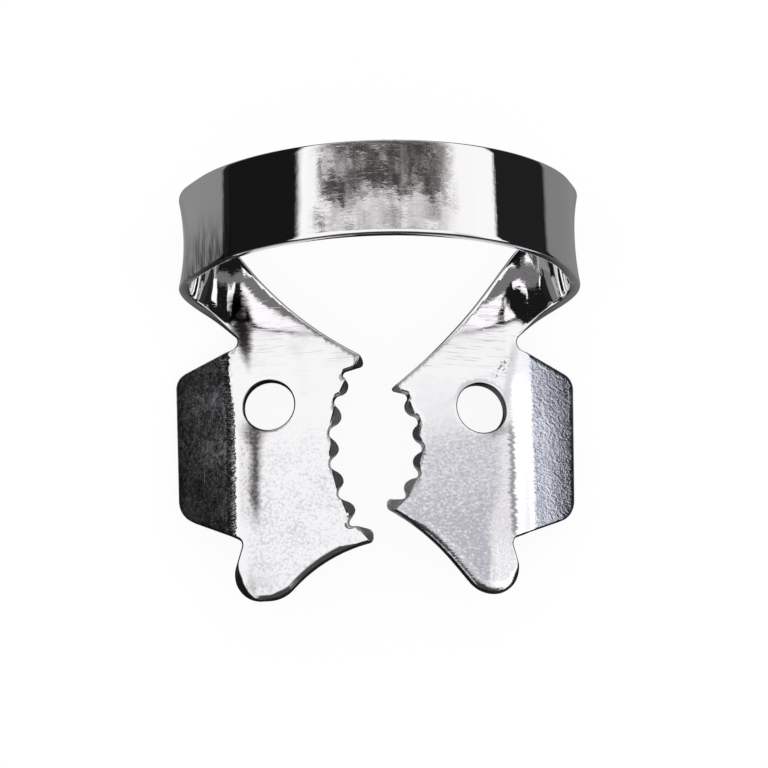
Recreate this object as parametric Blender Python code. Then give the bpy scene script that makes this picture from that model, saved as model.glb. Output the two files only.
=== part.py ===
"""Winged rubber dam clamp for a lower back tooth, stamped and bent from one sheet of spring steel.

It is made the way the real one is: a flat blank is punched, its jaws are ground to a bevel, and then
the blank is bent. The blank has a narrow strip in the middle, which becomes the bow, and a jaw plate
at each end with a forceps hole, a wing, a rounded front lobe and a toothed jaw.

Blank coordinates: s runs along the strip from the middle of the bow to the right jaw, y runs from the
front of the clamp to its back, and n goes through the sheet, positive on the outer face of the bow,
which becomes the lower face of the plates. Places on a plate are given as (a, y), where a is the
distance from the crease between plate and wing, positive toward the jaw.

The finished clamp lies as it comes to rest, on its two wings and its two curls, with the bow up.
"""
import bmesh
import bpy
import numpy as np
from math import acos, atan2, ceil, cos, hypot, pi, radians, sin, tan
from mathutils.geometry import delaunay_2d_cdt

mm = 0.001

# The sheet, and the rounding that tumbling leaves on every punched edge.
sheet = 0.55 * mm
edge_round = 0.09 * mm
edge_steps = 2

# The bow's profile from the side, on the middle of the sheet, from its top down to the crease.
arch_radius = 10.1 * mm
arch_angle = radians(52)
shoulder_radius = 7.3 * mm
curl_radius = 1.9 * mm
plate_rise = radians(13.3)

# How far the bow leans to the right for each unit that it rises.
bow_lean = 0.03

# The strip, and how far its edges flare outward where the bow is widest.
strip_width = 4.79 * mm
strip_front = 4.45 * mm
edge_flare = 0.26 * mm
flare_reach = 2.8 * mm

# The neck between strip and plate: corners of its back and front edges, and their fillets.
neck_back = 1.54 * mm
neck_back_fillet = 6.5 * mm
neck_front = 1.96 * mm
neck_front_fillet = 5.5 * mm
notch_depth = 0.57 * mm
notch_level = 1.94 * mm
notch_fillet = 0.45 * mm

# The wings, bent down from the plates.
wing_drop = radians(15)
wing_bend_radius = 1.5 * mm
wing_back = 0.63 * mm
wing_back_fillet = 0.8 * mm
wing_front = -6.57 * mm
wing_front_fillet = 1.3 * mm
wing_root_fillet = 0.45 * mm

# The forceps holes.
hole_radius = 1.27 * mm

# The teeth: how far their notches lie behind the bevel's upper edge, and the lean of their flanks.
notch_behind = 0.16 * mm
flank_lean = radians(60)

# The left plate grips the longer side of the tooth, with seven teeth.
left = {
    "hole": (1.74 * mm, -1.30 * mm),
    "inner_edge": (2.95 * mm, 3.05 * mm, 19.0 * mm),
    "jaw_centre": (12.06 * mm, -3.67 * mm),
    "jaw_radius": 7.32 * mm,
    "bevel_angle": radians(36),
    "teeth": 7,
    "tooth_pitch": 1.66 * mm,
    "tooth_reach": 0.295 * mm,
    "reach_change": 0.2 * mm,
    "notch_round": 0.45 * mm,
    "back_prong": [
        (7.32 * mm, radians(39.6), 0.35 * mm),
        (6.95 * mm, radians(36.9), 0.22 * mm),
        (7.83 * mm, radians(29.6), 0.25 * mm),
    ],
    "front_prong": [
        (7.79 * mm, radians(-31.5), 0.25 * mm),
        (6.76 * mm, radians(-38.3), 0.33 * mm),
        (7.18 * mm, radians(-43.1), 0.33 * mm),
    ],
    "front_edge": (4.32 * mm, -9.10 * mm, 8.5 * mm),
    "lobe_inner": (2.27 * mm, 1.9 * mm),
    "lobe_outer": (-0.60 * mm, 1.3 * mm),
    "lobe_end": -11.25 * mm,
    "wing_root": (0.37 * mm, -8.17 * mm),
    "wing_reach": (3.13 * mm, 3.04 * mm),
}

# The right plate is shorter, with six teeth on a tighter arc.
right = {
    "hole": (2.20 * mm, -1.47 * mm),
    "inner_edge": (3.52 * mm, 2.27 * mm, 30.0 * mm),
    "jaw_centre": (9.84 * mm, -3.67 * mm),
    "jaw_radius": 4.5 * mm,
    "bevel_angle": radians(38),
    "teeth": 6,
    "tooth_pitch": 1.42 * mm,
    "tooth_reach": 0.185 * mm,
    "reach_change": 0.14 * mm,
    "notch_round": 0.35 * mm,
    "back_prong": [(4.12 * mm, radians(44.5), 0.13 * mm), (4.87 * mm, radians(34.0), 0.25 * mm)],
    "front_prong": [
        (4.86 * mm, radians(-36.3), 0.30 * mm),
        (3.78 * mm, radians(-43.6), 0.26 * mm),
        (4.21 * mm, radians(-50.1), 0.26 * mm),
    ],
    "front_edge": (5.12 * mm, -7.90 * mm, 11.0 * mm),
    "lobe_inner": (2.49 * mm, 1.55 * mm),
    "lobe_outer": (0.05 * mm, 1.3 * mm),
    "lobe_end": -10.92 * mm,
    "wing_root": (0.80 * mm, -8.10 * mm),
    "wing_reach": (3.05 * mm, 2.84 * mm),
}

# Fineness of the mesh: how far a facet may lie off its arc in the outline, and along the bow.
outline_sag = 0.005 * mm
hole_sides = 32
bend_facet = radians(7)
flare_slices = 4

# Lengths along the strip, from the middle of the bow to the ends of arch, shoulder and curl.
arch_end = arch_radius * arch_angle
shoulder_end = arch_end + shoulder_radius * (pi / 2 - arch_angle)
crease = shoulder_end + curl_radius * (pi / 2 + plate_rise)


def rounded(corners):
    """Closed outline through corners (x, y, fillet), each replaced by an arc tangent to both sides.

    An arc whose tangents would not fit on a side is made smaller until they do."""
    count = len(corners)
    sides = []
    for i in range(count):
        x0, y0, _ = corners[i]
        x1, y1, _ = corners[(i + 1) % count]
        length = hypot(x1 - x0, y1 - y0)
        sides.append((length, (x1 - x0) / length, (y1 - y0) / length))
    turns = []
    tangents = []
    for i in range(count):
        _, ux, uy = sides[i - 1]
        _, vx, vy = sides[i]
        turn = atan2(ux * vy - uy * vx, ux * vx + uy * vy)
        turns.append(turn)
        tangents.append(corners[i][2] * tan(abs(turn) / 2))
    share = [1.0] * count
    for i in range(count):
        j = (i + 1) % count
        wanted = tangents[i] + tangents[j]
        if wanted > sides[i][0]:
            share[i] = min(share[i], sides[i][0] / wanted)
            share[j] = min(share[j], sides[i][0] / wanted)
    points = []
    for i in range(count):
        x, y, fillet = corners[i]
        radius = fillet * share[i]
        if radius == 0 or turns[i] == 0:
            points.append((x, y))
            continue
        _, ux, uy = sides[i - 1]
        way = 1 if turns[i] > 0 else -1
        start_x = x - ux * tangents[i] * share[i]
        start_y = y - uy * tangents[i] * share[i]
        centre_x = start_x - uy * radius * way
        centre_y = start_y + ux * radius * way
        first = atan2(start_y - centre_y, start_x - centre_x)
        steps = ceil(abs(turns[i]) / (2 * acos(1 - min(outline_sag / radius, 0.5))))
        for k in range(steps + 1):
            angle = first + turns[i] * k / steps
            points.append((centre_x + radius * cos(angle), centre_y + radius * sin(angle)))
    return [p for p, q in zip(points, points[-1:] + points) if hypot(p[0] - q[0], p[1] - q[1]) > outline_sag]


def jaw_angle(side, place):
    """Angle about the jaw's centre of a place counted in teeth from the jaw's middle, back teeth first."""
    return -place * side["tooth_pitch"] / side["jaw_radius"]


def jaw_point(side, radius, angle):
    """Point (a, y) on the plate at a radius and angle about the centre of the jaw's arc."""
    centre_a, centre_y = side["jaw_centre"]
    return centre_a - radius * cos(angle), centre_y + radius * sin(angle)


def jaw_corners(side):
    """Corners of the toothed edge, from the back prong to the front prong.

    The edge is a zigzag about the jaw's arc whose corners are rounded into scallops. A corner lies
    beyond its arc by radius * (1 / cos(lean) - 1). The teeth stand out further toward the front."""
    cut = 1 / cos(flank_lean) - 1
    zigzag = side["tooth_pitch"] / 2 * tan(flank_lean)
    notch_round = side["notch_round"]
    notch = side["jaw_radius"] + notch_behind
    last = side["teeth"] - 1
    corners = list(side["back_prong"])
    for k in range(1, last):
        angle = jaw_angle(side, k - last / 2)
        tip = side["jaw_radius"] - side["tooth_reach"] + side["reach_change"] * sin(angle)
        tip_round = (zigzag - (notch - tip)) / cut - notch_round
        corners.append((tip - tip_round * cut, angle, tip_round))
        if k < last - 1:
            corners.append((notch + notch_round * cut, jaw_angle(side, k + 0.5 - last / 2), notch_round))
    corners += side["front_prong"]
    return [(*jaw_point(side, radius, angle), fillet) for radius, angle, fillet in corners]


def half_corners(side):
    """Corners (a, y, fillet) of one half of the blank, from the bow's back edge round to its front edge."""
    root_a, root_y = side["wing_root"]
    inner_a, inner_fillet = side["lobe_inner"]
    outer_a, outer_fillet = side["lobe_outer"]
    back_reach, front_reach = side["wing_reach"]
    return [
        (-neck_back, strip_front + strip_width, neck_back_fillet),
        side["inner_edge"],
        *jaw_corners(side),
        side["front_edge"],
        (inner_a, side["lobe_end"], inner_fillet),
        (outer_a, side["lobe_end"], outer_fillet),
        (root_a, root_y, wing_root_fillet),
        (-front_reach, wing_front, wing_front_fillet),
        (-back_reach, wing_back, wing_back_fillet),
        (notch_depth, notch_level, notch_fillet),
        (-neck_front, strip_front, neck_front_fillet),
    ]


def blank_outline():
    """Outline of the whole blank in (s, y), anticlockwise as seen from the bow's outer face."""
    right_half = [(crease + a, y, fillet) for a, y, fillet in half_corners(right)]
    left_half = [(-crease - a, y, fillet) for a, y, fillet in half_corners(left)]
    return rounded(left_half + right_half[::-1])


def hole_outline(side, way):
    """Forceps hole in (s, y), clockwise, so that the sheet lies on its left."""
    a, y = side["hole"]
    angles = [-2 * pi * k / hole_sides for k in range(hole_sides)]
    return [(way * (crease + a) + hole_radius * cos(t), y + hole_radius * sin(t)) for t in angles]


def inset(points, distance):
    """Outline moved into the sheet, which lies on its left, by a distance, with mitred corners."""
    loop = np.array(points)
    along = np.roll(loop, -1, axis=0) - loop
    along /= np.linalg.norm(along, axis=1)[:, None]
    left_after = np.c_[-along[:, 1], along[:, 0]]
    left_before = np.roll(left_after, 1, axis=0)
    meeting = 1 + (left_after * left_before).sum(axis=1)
    return loop + distance * (left_after + left_before) / meeting[:, None]


def edge_profile():
    """Rounded edge of the sheet as (inset, n), from the lower face to the upper one."""
    half = sheet / 2
    lower = []
    for k in range(edge_steps + 1):
        angle = pi / 2 * k / edge_steps
        lower.append((edge_round * (1 - sin(angle)), -half + edge_round * (1 - cos(angle))))
    upper = [(distance, -n) for distance, n in reversed(lower)]
    return lower + upper


def add_wall(bm, outline):
    """Wall of the sheet along one outline; gives back its lowest and its highest ring of vertices."""
    rings = []
    for distance, n in edge_profile():
        rings.append([bm.verts.new((x, y, n)) for x, y in inset(outline, distance)])
    count = len(outline)
    for lower, upper in zip(rings, rings[1:]):
        for i in range(count):
            j = (i + 1) % count
            bm.faces.new((lower[i], lower[j], upper[j], upper[i]))
    return rings[0], rings[-1]


def add_face(bm, rings):
    """Flat face of the sheet, filled with triangles between its outline and the rings of its holes.

    Triangles with all three corners on one hole lie in that hole and are left out."""
    verts = []
    bounds = []
    hole_verts = []
    for ring in rings:
        first = len(verts)
        count = len(ring)
        bounds += [(first + i, first + (i + 1) % count) for i in range(count)]
        verts += ring
        if ring is not rings[0]:
            hole_verts.append(set(ring))
    flat = [vert.co.xy / mm for vert in verts]
    _, _, triangles, sources, _, _ = delaunay_2d_cdt(flat, bounds, [], 1, 1e-5)
    for triangle in triangles:
        corners = [verts[sources[i][0]] for i in triangle]
        if not any(hole.issuperset(corners) for hole in hole_verts):
            bm.faces.new(corners)


def punch_blank():
    """Flat blank with its holes and its rounded edges, as an object."""
    bm = bmesh.new()
    outlines = (blank_outline(), hole_outline(left, -1), hole_outline(right, 1))
    for rings in zip(*[add_wall(bm, outline) for outline in outlines]):
        add_face(bm, rings)
    bmesh.ops.recalc_face_normals(bm, faces=bm.faces)
    mesh = bpy.data.meshes.new("clamp")
    bm.to_mesh(mesh)
    bm.free()
    blank = bpy.data.objects.new("clamp", mesh)
    bpy.context.collection.objects.link(blank)
    return blank


def grinding_wheel(side, way, name):
    """Cutter that bevels one jaw from its upper face: one flat for each tooth, round the jaw's arc."""
    reach = sheet
    half_step = side["tooth_pitch"] / side["jaw_radius"] / 2
    ends = []
    for n in (-sheet / 2 - reach, sheet / 2 + reach):
        radius = (side["jaw_radius"] - (n + sheet / 2) * tan(side["bevel_angle"])) / cos(half_step)
        places = [k - side["teeth"] / 2 for k in range(side["teeth"] + 1)]
        outline = [jaw_point(side, radius, jaw_angle(side, place)) for place in places]
        outline.append(side["jaw_centre"])
        ends.append([(way * (crease + a), y, n) for a, y in outline])
    bm = bmesh.new()
    lower, upper = [[bm.verts.new(point) for point in ring] for ring in ends]
    count = len(lower)
    for i in range(count):
        j = (i + 1) % count
        bm.faces.new((lower[i], lower[j], upper[j], upper[i]))
    bm.faces.new(lower)
    bm.faces.new(upper)
    bmesh.ops.recalc_face_normals(bm, faces=bm.faces)
    mesh = bpy.data.meshes.new(name)
    bm.to_mesh(mesh)
    bm.free()
    wheel = bpy.data.objects.new(name, mesh)
    wheel.hide_render = True
    wheel.display_type = "WIRE"
    bpy.context.collection.objects.link(wheel)
    return wheel


def grind_jaws(blank):
    """Bevels both jaws of the flat blank, and removes the cutters."""
    wheels = [grinding_wheel(left, -1, "left_wheel"), grinding_wheel(right, 1, "right_wheel")]
    for wheel in wheels:
        cut = blank.modifiers.new(wheel.name, "BOOLEAN")
        cut.operation = "DIFFERENCE"
        cut.solver = "EXACT"
        cut.object = wheel
    evaluated = blank.evaluated_get(bpy.context.evaluated_depsgraph_get())
    ground = bpy.data.meshes.new_from_object(evaluated)
    blank.modifiers.clear()
    blank.data = ground
    for wheel in wheels:
        bpy.data.objects.remove(wheel)


def bend_lines():
    """Places along the strip where the sheet is divided, so that each bend is made of narrow facets."""
    lines = [0.0]
    start = 0.0
    for end, radius in ((arch_end, arch_radius), (shoulder_end, shoulder_radius), (crease, curl_radius)):
        facets = ceil((end - start) / radius / bend_facet)
        lines += [start + (end - start) * k / facets for k in range(1, facets + 1)]
        start = end
    wing_bend = wing_bend_radius * wing_drop
    facets = ceil(wing_drop / bend_facet)
    lines += [crease - wing_bend * k / facets for k in range(1, facets + 1)]
    return lines


def divide(bm):
    """Divides the flat blank along the bend lines, and along the strip for its flare.

    Between the lines the flat faces are made whole again, so that only the bends are fine."""
    places = []
    for s in bend_lines():
        places += [((s, 0, 0), (1, 0, 0)), ((-s, 0, 0), (1, 0, 0))]
    for k in range(1, flare_slices):
        places.append(((0, strip_front + strip_width * k / flare_slices, 0), (0, 1, 0)))
    for point, normal in places:
        everything = bm.verts[:] + bm.edges[:] + bm.faces[:]
        cut = bmesh.ops.bisect_plane(bm, geom=everything, dist=1e-4 * mm, plane_co=point, plane_no=normal)
        for item in cut["geom_cut"]:
            if isinstance(item, bmesh.types.BMEdge):
                item.seam = True
    bmesh.ops.dissolve_limit(bm, angle_limit=1e-4, verts=bm.verts, edges=bm.edges, delimit={"SEAM"})


def bow_profile(s, n):
    """Point (x, z) of the bow and plate at length s from the bow's middle; z is 0 at the crease.

    The profile is three arcs and a straight: each arc turns the heading by length / radius, and the
    point lies n outside the arc."""
    arcs = ((0.0, arch_end, arch_radius), (arch_end, shoulder_end, shoulder_radius),
            (shoulder_end, crease, curl_radius))
    x = np.zeros_like(s)
    z = np.zeros_like(s)
    start_x, start_z, heading = 0.0, 0.0, 0.0
    for start, end, radius in arcs:
        centre_x = start_x - radius * sin(heading)
        centre_z = start_z - radius * cos(heading)
        angle = heading + (s - start) / radius
        here = (s >= start) & (s <= end)
        x = np.where(here, centre_x + (radius + n) * np.sin(angle), x)
        z = np.where(here, centre_z + (radius + n) * np.cos(angle), z)
        heading += (end - start) / radius
        start_x = centre_x + radius * sin(heading)
        start_z = centre_z + radius * cos(heading)
    beyond = s > crease
    x = np.where(beyond, start_x + (s - crease) * cos(heading) + n * sin(heading), x)
    z = np.where(beyond, start_z - (s - crease) * sin(heading) + n * cos(heading), z)
    return x, z - start_z


def wing_profile(w, n):
    """Point (x, z) of a wing at width w from the crease, bent down from the plate by its drop."""
    crease_x, crease_z = bow_profile(np.array([crease]), np.array([0.0]))
    bend = wing_bend_radius * wing_drop
    slope = plate_rise + np.minimum(w, bend) / wing_bend_radius
    flat = np.maximum(w - bend, 0)
    x = crease_x + wing_bend_radius * (np.sin(slope) - sin(plate_rise)) + flat * np.cos(slope)
    z = crease_z + wing_bend_radius * (np.cos(slope) - cos(plate_rise)) - flat * np.sin(slope)
    return x - n * np.sin(slope), z - n * np.cos(slope)


def bend(points):
    """Flat blank points (s, y, n) brought to the bent clamp, with y unchanged.

    The strip's section is dished by its flare, and what rises above the creases leans to the right."""
    s, y, n = np.abs(points[:, 0]), points[:, 1], points[:, 2]
    way = np.where(points[:, 0] < 0, -1.0, 1.0)
    near_side = np.clip((s - shoulder_end) / flare_reach, -1, 1)
    across = (y - strip_front - strip_width / 2) / (strip_width / 2)
    flare = edge_flare * np.cos(pi / 2 * near_side) ** 2 * across ** 2
    on_wing = (s < crease) & (y < notch_level)
    x, z = bow_profile(s, n + np.where(on_wing, 0, flare))
    wing_x, wing_z = wing_profile(np.maximum(crease - s, 0), n)
    x = np.where(on_wing, wing_x, x)
    z = np.where(on_wing, wing_z, z)
    lean = np.where((s < crease) & ~on_wing, bow_lean * np.maximum(z, 0), 0)
    return np.c_[way * x + lean, y, z]


def lay_down(points, centre):
    """Tips the clamp about the x axis until it rests: its lowest points lie on both sides of its weight."""
    low, high = -pi / 3, pi / 3
    for _ in range(50):
        tip = (low + high) / 2
        turned_y = points[:, 1] * cos(tip) - points[:, 2] * sin(tip)
        turned_z = points[:, 1] * sin(tip) + points[:, 2] * cos(tip)
        centre_y = centre[1] * cos(tip) - centre[2] * sin(tip)
        if turned_y[np.argmin(turned_z)] < centre_y:
            high = tip
        else:
            low = tip
    laid = np.c_[points[:, 0], turned_y, turned_z]
    corner_low, corner_high = laid.min(axis=0), laid.max(axis=0)
    middle = (corner_low + corner_high) / 2
    return laid - [middle[0], middle[1], corner_low[2]]


def weight_centre(bm, points):
    """Centre of the solid, from the signed tetrahedra between its triangles and the origin."""
    triangles = np.array([[v.index for v in face.verts] for face in bm.faces])
    a, b, c = points[triangles[:, 0]], points[triangles[:, 1]], points[triangles[:, 2]]
    volumes = (a * np.cross(b, c)).sum(axis=1)
    return ((a + b + c) * volumes[:, None]).sum(axis=0) / volumes.sum() / 4


def steel():
    """Polished spring steel."""
    material = bpy.data.materials.new("polished_steel")
    material.use_nodes = True
    shader = material.node_tree.nodes["Principled BSDF"]
    shader.inputs["Base Color"].default_value = (0.66, 0.65, 0.66, 1)
    shader.inputs["Metallic"].default_value = 1.0
    shader.inputs["Roughness"].default_value = 0.16
    return material


def build_clamp():
    """Punches, grinds and bends the sheet, and lays the clamp down."""
    clamp = punch_blank()
    grind_jaws(clamp)
    bm = bmesh.new()
    bm.from_mesh(clamp.data)
    divide(bm)
    bmesh.ops.triangulate(bm, faces=bm.faces)
    bm.verts.index_update()
    flat = np.array([v.co[:] for v in bm.verts], dtype=float)
    bent = bend(flat)
    laid = lay_down(bent, weight_centre(bm, bent))
    for vert, point in zip(bm.verts, laid):
        vert.co = point
    bm.to_mesh(clamp.data)
    bm.free()
    clamp.data.materials.clear()
    clamp.data.materials.append(steel())
    clamp.data.shade_smooth()
    clamp.data.set_sharp_from_angle(angle=radians(28))


for item in list(bpy.data.objects):
    bpy.data.objects.remove(item)
build_clamp()
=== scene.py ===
from math import atan2, ceil, cos, pi, radians, sin, tan
import bpy
import bmesh
import numpy as np
from mathutils import Matrix, Vector
from mathutils.geometry import delaunay_2d_cdt


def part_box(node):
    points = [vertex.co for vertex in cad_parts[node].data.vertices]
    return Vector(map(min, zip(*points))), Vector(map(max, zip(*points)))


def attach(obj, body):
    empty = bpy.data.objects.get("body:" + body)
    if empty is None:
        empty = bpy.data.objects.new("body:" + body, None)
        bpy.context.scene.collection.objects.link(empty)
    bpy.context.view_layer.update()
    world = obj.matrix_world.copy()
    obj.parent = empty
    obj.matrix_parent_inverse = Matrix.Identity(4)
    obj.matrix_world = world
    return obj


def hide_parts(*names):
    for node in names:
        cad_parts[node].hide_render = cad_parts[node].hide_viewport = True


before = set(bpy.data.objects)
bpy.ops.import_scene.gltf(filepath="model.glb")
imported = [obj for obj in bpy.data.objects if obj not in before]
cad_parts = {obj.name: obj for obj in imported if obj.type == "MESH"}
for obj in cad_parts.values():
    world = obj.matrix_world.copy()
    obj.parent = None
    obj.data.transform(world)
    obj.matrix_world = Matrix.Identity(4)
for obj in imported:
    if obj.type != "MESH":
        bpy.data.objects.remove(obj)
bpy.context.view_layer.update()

mm = 0.001
perMetre = 1000.0
print("frame loaded:", sorted(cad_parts))

# Sizes in millimetres and angles in degrees, as the clamp's flat blank is drawn.
# s runs along the strip from the bow's middle to the right jaw, y from front to back, and n through
# the sheet. A place on a plate is (a, y), with a counted inward from the crease of plate and wing.
clampSizes = {
    "sheet": 0.55,
    "archRadius": 10.1,
    "archAngle": 52.0,
    "shoulderRadius": 7.3,
    "curlRadius": 1.9,
    "plateRise": 13.3,
    "bowLean": 0.03,
    "stripWidth": 4.79,
    "stripFront": 4.45,
    "edgeFlare": 0.26,
    "flareReach": 2.8,
    "neckBack": (1.54, 6.5),
    "neckFront": (1.96, 5.5),
    "notch": (0.57, 1.94, 0.45),
    "wingDrop": 15.0,
    "wingBendRadius": 1.5,
    "wingBack": (0.63, 0.8),
    "wingFront": (-6.57, 1.3),
    "wingRootRound": 0.45,
    "holeRadius": 1.27,
    "notchBehind": 0.16,
    "flankLean": 60.0,
    "bevelAngleLeft": 36.0,
    "bevelAngleRight": 38.0,
    "restTip": -10.204,
}
leftPlate = {
    "hole": (1.74, -1.30),
    "innerEdge": (2.95, 3.05, 19.0),
    "jawCentre": (12.06, -3.67),
    "jawRadius": 7.32,
    "bevel": clampSizes["bevelAngleLeft"],
    "teeth": 7,
    "toothPitch": 1.66,
    "toothReach": 0.295,
    "reachChange": 0.2,
    "notchRound": 0.45,
    "backProng": [(7.32, 39.6, 0.35), (6.95, 36.9, 0.22), (7.83, 29.6, 0.25)],
    "frontProng": [(7.79, -31.5, 0.25), (6.76, -38.3, 0.33), (7.18, -43.1, 0.33)],
    "frontEdge": (4.32, -9.10, 8.5),
    "lobeInner": (2.27, 1.9),
    "lobeOuter": (-0.60, 1.3),
    "lobeEnd": -11.25,
    "wingRoot": (0.37, -8.17),
    "wingReach": (3.13, 3.04),
}
rightPlate = {
    "hole": (2.20, -1.47),
    "innerEdge": (3.52, 2.27, 30.0),
    "jawCentre": (9.84, -3.67),
    "jawRadius": 4.5,
    "bevel": clampSizes["bevelAngleRight"],
    "teeth": 6,
    "toothPitch": 1.42,
    "toothReach": 0.185,
    "reachChange": 0.14,
    "notchRound": 0.35,
    "backProng": [(4.12, 44.5, 0.13), (4.87, 34.0, 0.25)],
    "frontProng": [(4.86, -36.3, 0.30), (3.78, -43.6, 0.26), (4.21, -50.1, 0.26)],
    "frontEdge": (5.12, -7.90, 11.0),
    "lobeInner": (2.49, 1.55),
    "lobeOuter": (0.05, 1.3),
    "lobeEnd": -10.92,
    "wingRoot": (0.80, -8.10),
    "wingReach": (3.05, 2.84),
}

surfaceDetail = {
    "outlineStep": 0.055,
    "gridStep": 0.17,
    "edgeRound": 0.09,
    "frontRound": 0.55,
    "frontRoundDepth": 0.24,
    "frontStarts": (-6.6, -7.6),  # in y, then in distance from the crease
    "frontBeyond": (0.6, 1.5),
    "lobeStarts": (-9.2, -10.2),
    "prongEnds": (6.1, 5.2),
    "wingStarts": (0.0, -0.35),
    "wingEnds": (2.2, 1.7),
    "edgeSegments": 5,
    "rowShare": 0.87,  # rows of the grid, in steps
    "clearance": 0.62,  # least distance from the grid to an outline, in steps
    "bevelSteps": 24,
    "leastSpan": 6,
    "sharpAngle": 31.0,
    "groundBlend": 0.06,
    "pointsAtOnce": 2000,
}


def filletArc(before, corner, after, fillet, finest=0.02):
    # Arc of radius fillet tangent to both sides at a corner, as points evenly spaced by angle.
    x, y = corner
    inAngle = atan2(y - before[1], x - before[0])
    turn = (atan2(after[1] - y, after[0] - x) - inAngle + pi) % (2 * pi) - pi
    reach = fillet * tan(abs(turn) / 2)
    way = 1.0 if turn > 0 else -1.0
    start = np.array(corner) - reach * np.array((cos(inAngle), sin(inAngle)))
    centre = start + way * fillet * np.array((-sin(inAngle), cos(inAngle)))
    angles = np.linspace(0, turn, max(3, ceil(abs(turn) * fillet / finest))) + inAngle - way * pi / 2
    return centre + fillet * np.c_[np.cos(angles), np.sin(angles)]


def fittedFillets(corners):
    # Fillets made smaller in pairs wherever their tangents would not fit on the side that they share.
    points = np.array([corner[:2] for corner in corners])
    fillets = np.array([corner[2] for corner in corners])
    sideAfter = np.roll(points, -1, axis=0) - points
    heading = np.arctan2(sideAfter[:, 1], sideAfter[:, 0])
    turn = (heading - np.roll(heading, 1) + pi) % (2 * pi) - pi
    reach = fillets * np.tan(np.abs(turn) / 2)
    length = np.hypot(*sideAfter.T)
    share = np.minimum(1, length / np.maximum(reach + np.roll(reach, -1), 1e-9))
    return points, fillets * np.minimum(share, np.roll(share, 1))


def jawPlace(plate, radius, angle):
    # Point (a, y) at a radius and an angle in degrees about the centre of the jaw's arc.
    return (plate["jawCentre"][0] - radius * cos(radians(angle)),
            plate["jawCentre"][1] + radius * sin(radians(angle)))


def jawCorners(plate):
    # Zigzag about the jaw's arc whose corners become scallops. A corner lies beyond its rounding
    # by radius * (1 / cos(lean) - 1), and the teeth stand out further toward the front.
    lean = radians(clampSizes["flankLean"])
    cut = 1 / cos(lean) - 1
    zigzag = plate["toothPitch"] / 2 * tan(lean)
    step = np.degrees(plate["toothPitch"] / plate["jawRadius"])
    notch = plate["jawRadius"] + clampSizes["notchBehind"]
    last = plate["teeth"] - 1
    corners = list(plate["backProng"])
    for k in range(1, last):
        angle = (last / 2 - k) * step
        tip = plate["jawRadius"] - plate["toothReach"] + plate["reachChange"] * sin(radians(angle))
        tipRound = (zigzag - (notch - tip)) / cut - plate["notchRound"]
        corners.append((tip - tipRound * cut, angle, tipRound))
        if k < last - 1:
            corners.append((notch + plate["notchRound"] * cut, angle - step / 2, plate["notchRound"]))
    corners += plate["frontProng"]
    return [(*jawPlace(plate, radius, angle), fillet) for radius, angle, fillet in corners]


def halfCorners(plate):
    # Corners (a, y, fillet) of one half of the blank, from the bow's back edge to its front edge.
    size = clampSizes
    return [
        (-size["neckBack"][0], size["stripFront"] + size["stripWidth"], size["neckBack"][1]),
        plate["innerEdge"],
        *jawCorners(plate),
        plate["frontEdge"],
        (plate["lobeInner"][0], plate["lobeEnd"], plate["lobeInner"][1]),
        (plate["lobeOuter"][0], plate["lobeEnd"], plate["lobeOuter"][1]),
        (*plate["wingRoot"], size["wingRootRound"]),
        (-plate["wingReach"][1], *size["wingFront"]),
        (-plate["wingReach"][0], *size["wingBack"]),
        size["notch"],
        (-size["neckFront"][0], size["stripFront"], size["neckFront"][1]),
    ]


archEnd = clampSizes["archRadius"] * radians(clampSizes["archAngle"])
shoulderEnd = archEnd + clampSizes["shoulderRadius"] * (pi / 2 - radians(clampSizes["archAngle"]))
crease = shoulderEnd + clampSizes["curlRadius"] * (pi / 2 + radians(clampSizes["plateRise"]))


def evenLoop(points, step):
    # Closed polyline resampled to even spacing: place along it is its running length.
    loop = np.vstack([points, points[:1]])
    run = np.r_[0, np.cumsum(np.hypot(*np.diff(loop, axis=0).T))]
    count = int(round(run[-1] / step))
    places = np.arange(count) * run[-1] / count
    return np.c_[np.interp(places, run, loop[:, 0]), np.interp(places, run, loop[:, 1])]


def blankOutline():
    # Outline (s, y) of the whole blank, with the sheet on its left.
    rightHalf = [(crease + a, y, fillet) for a, y, fillet in halfCorners(rightPlate)]
    leftHalf = [(-crease - a, y, fillet) for a, y, fillet in halfCorners(leftPlate)]
    points, fillets = fittedFillets(leftHalf + rightHalf[::-1])
    arcs = [filletArc(points[i - 1], points[i], points[(i + 1) % len(points)], fillets[i])
            for i in range(len(points))]
    return evenLoop(np.vstack(arcs), surfaceDetail["outlineStep"])


def holeOutline(plate, way):
    # Circle (s, y) of a forceps hole, clockwise, with the sheet on its left.
    radius = clampSizes["holeRadius"]
    count = int(2 * pi * radius / surfaceDetail["outlineStep"])
    angles = -2 * pi * np.arange(count) / count
    a, y = plate["hole"]
    return np.c_[way * (crease + a) + radius * np.cos(angles), y + radius * np.sin(angles)]


def inward(loop):
    # Unit direction into the sheet at each outline point: the chord to both neighbours, turned left.
    chord = np.roll(loop, -1, axis=0) - np.roll(loop, 1, axis=0)
    chord /= np.linalg.norm(chord, axis=1)[:, None]
    return np.c_[-chord[:, 1], chord[:, 0]]


def pastBevel(points, plate, way):
    # Distance past the upper edge of the bevel, toward the tooth's tip: the jaw's radius less the
    # distance from the jaw's centre measured along the middle line of the nearest tooth.
    x = plate["jawCentre"][0] - (way * points[:, 0] - crease)
    y = points[:, 1] - plate["jawCentre"][1]
    step = plate["toothPitch"] / plate["jawRadius"]
    last = plate["teeth"] - 1
    tooth = np.clip(np.round(np.arctan2(y, x) / step + last / 2), 0, last) - last / 2
    along = x * np.cos(tooth * step) + y * np.sin(tooth * step)
    onPlate = way * points[:, 0] > crease + 3
    return np.where(onPlate, plate["jawRadius"] - along, -1)


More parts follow.
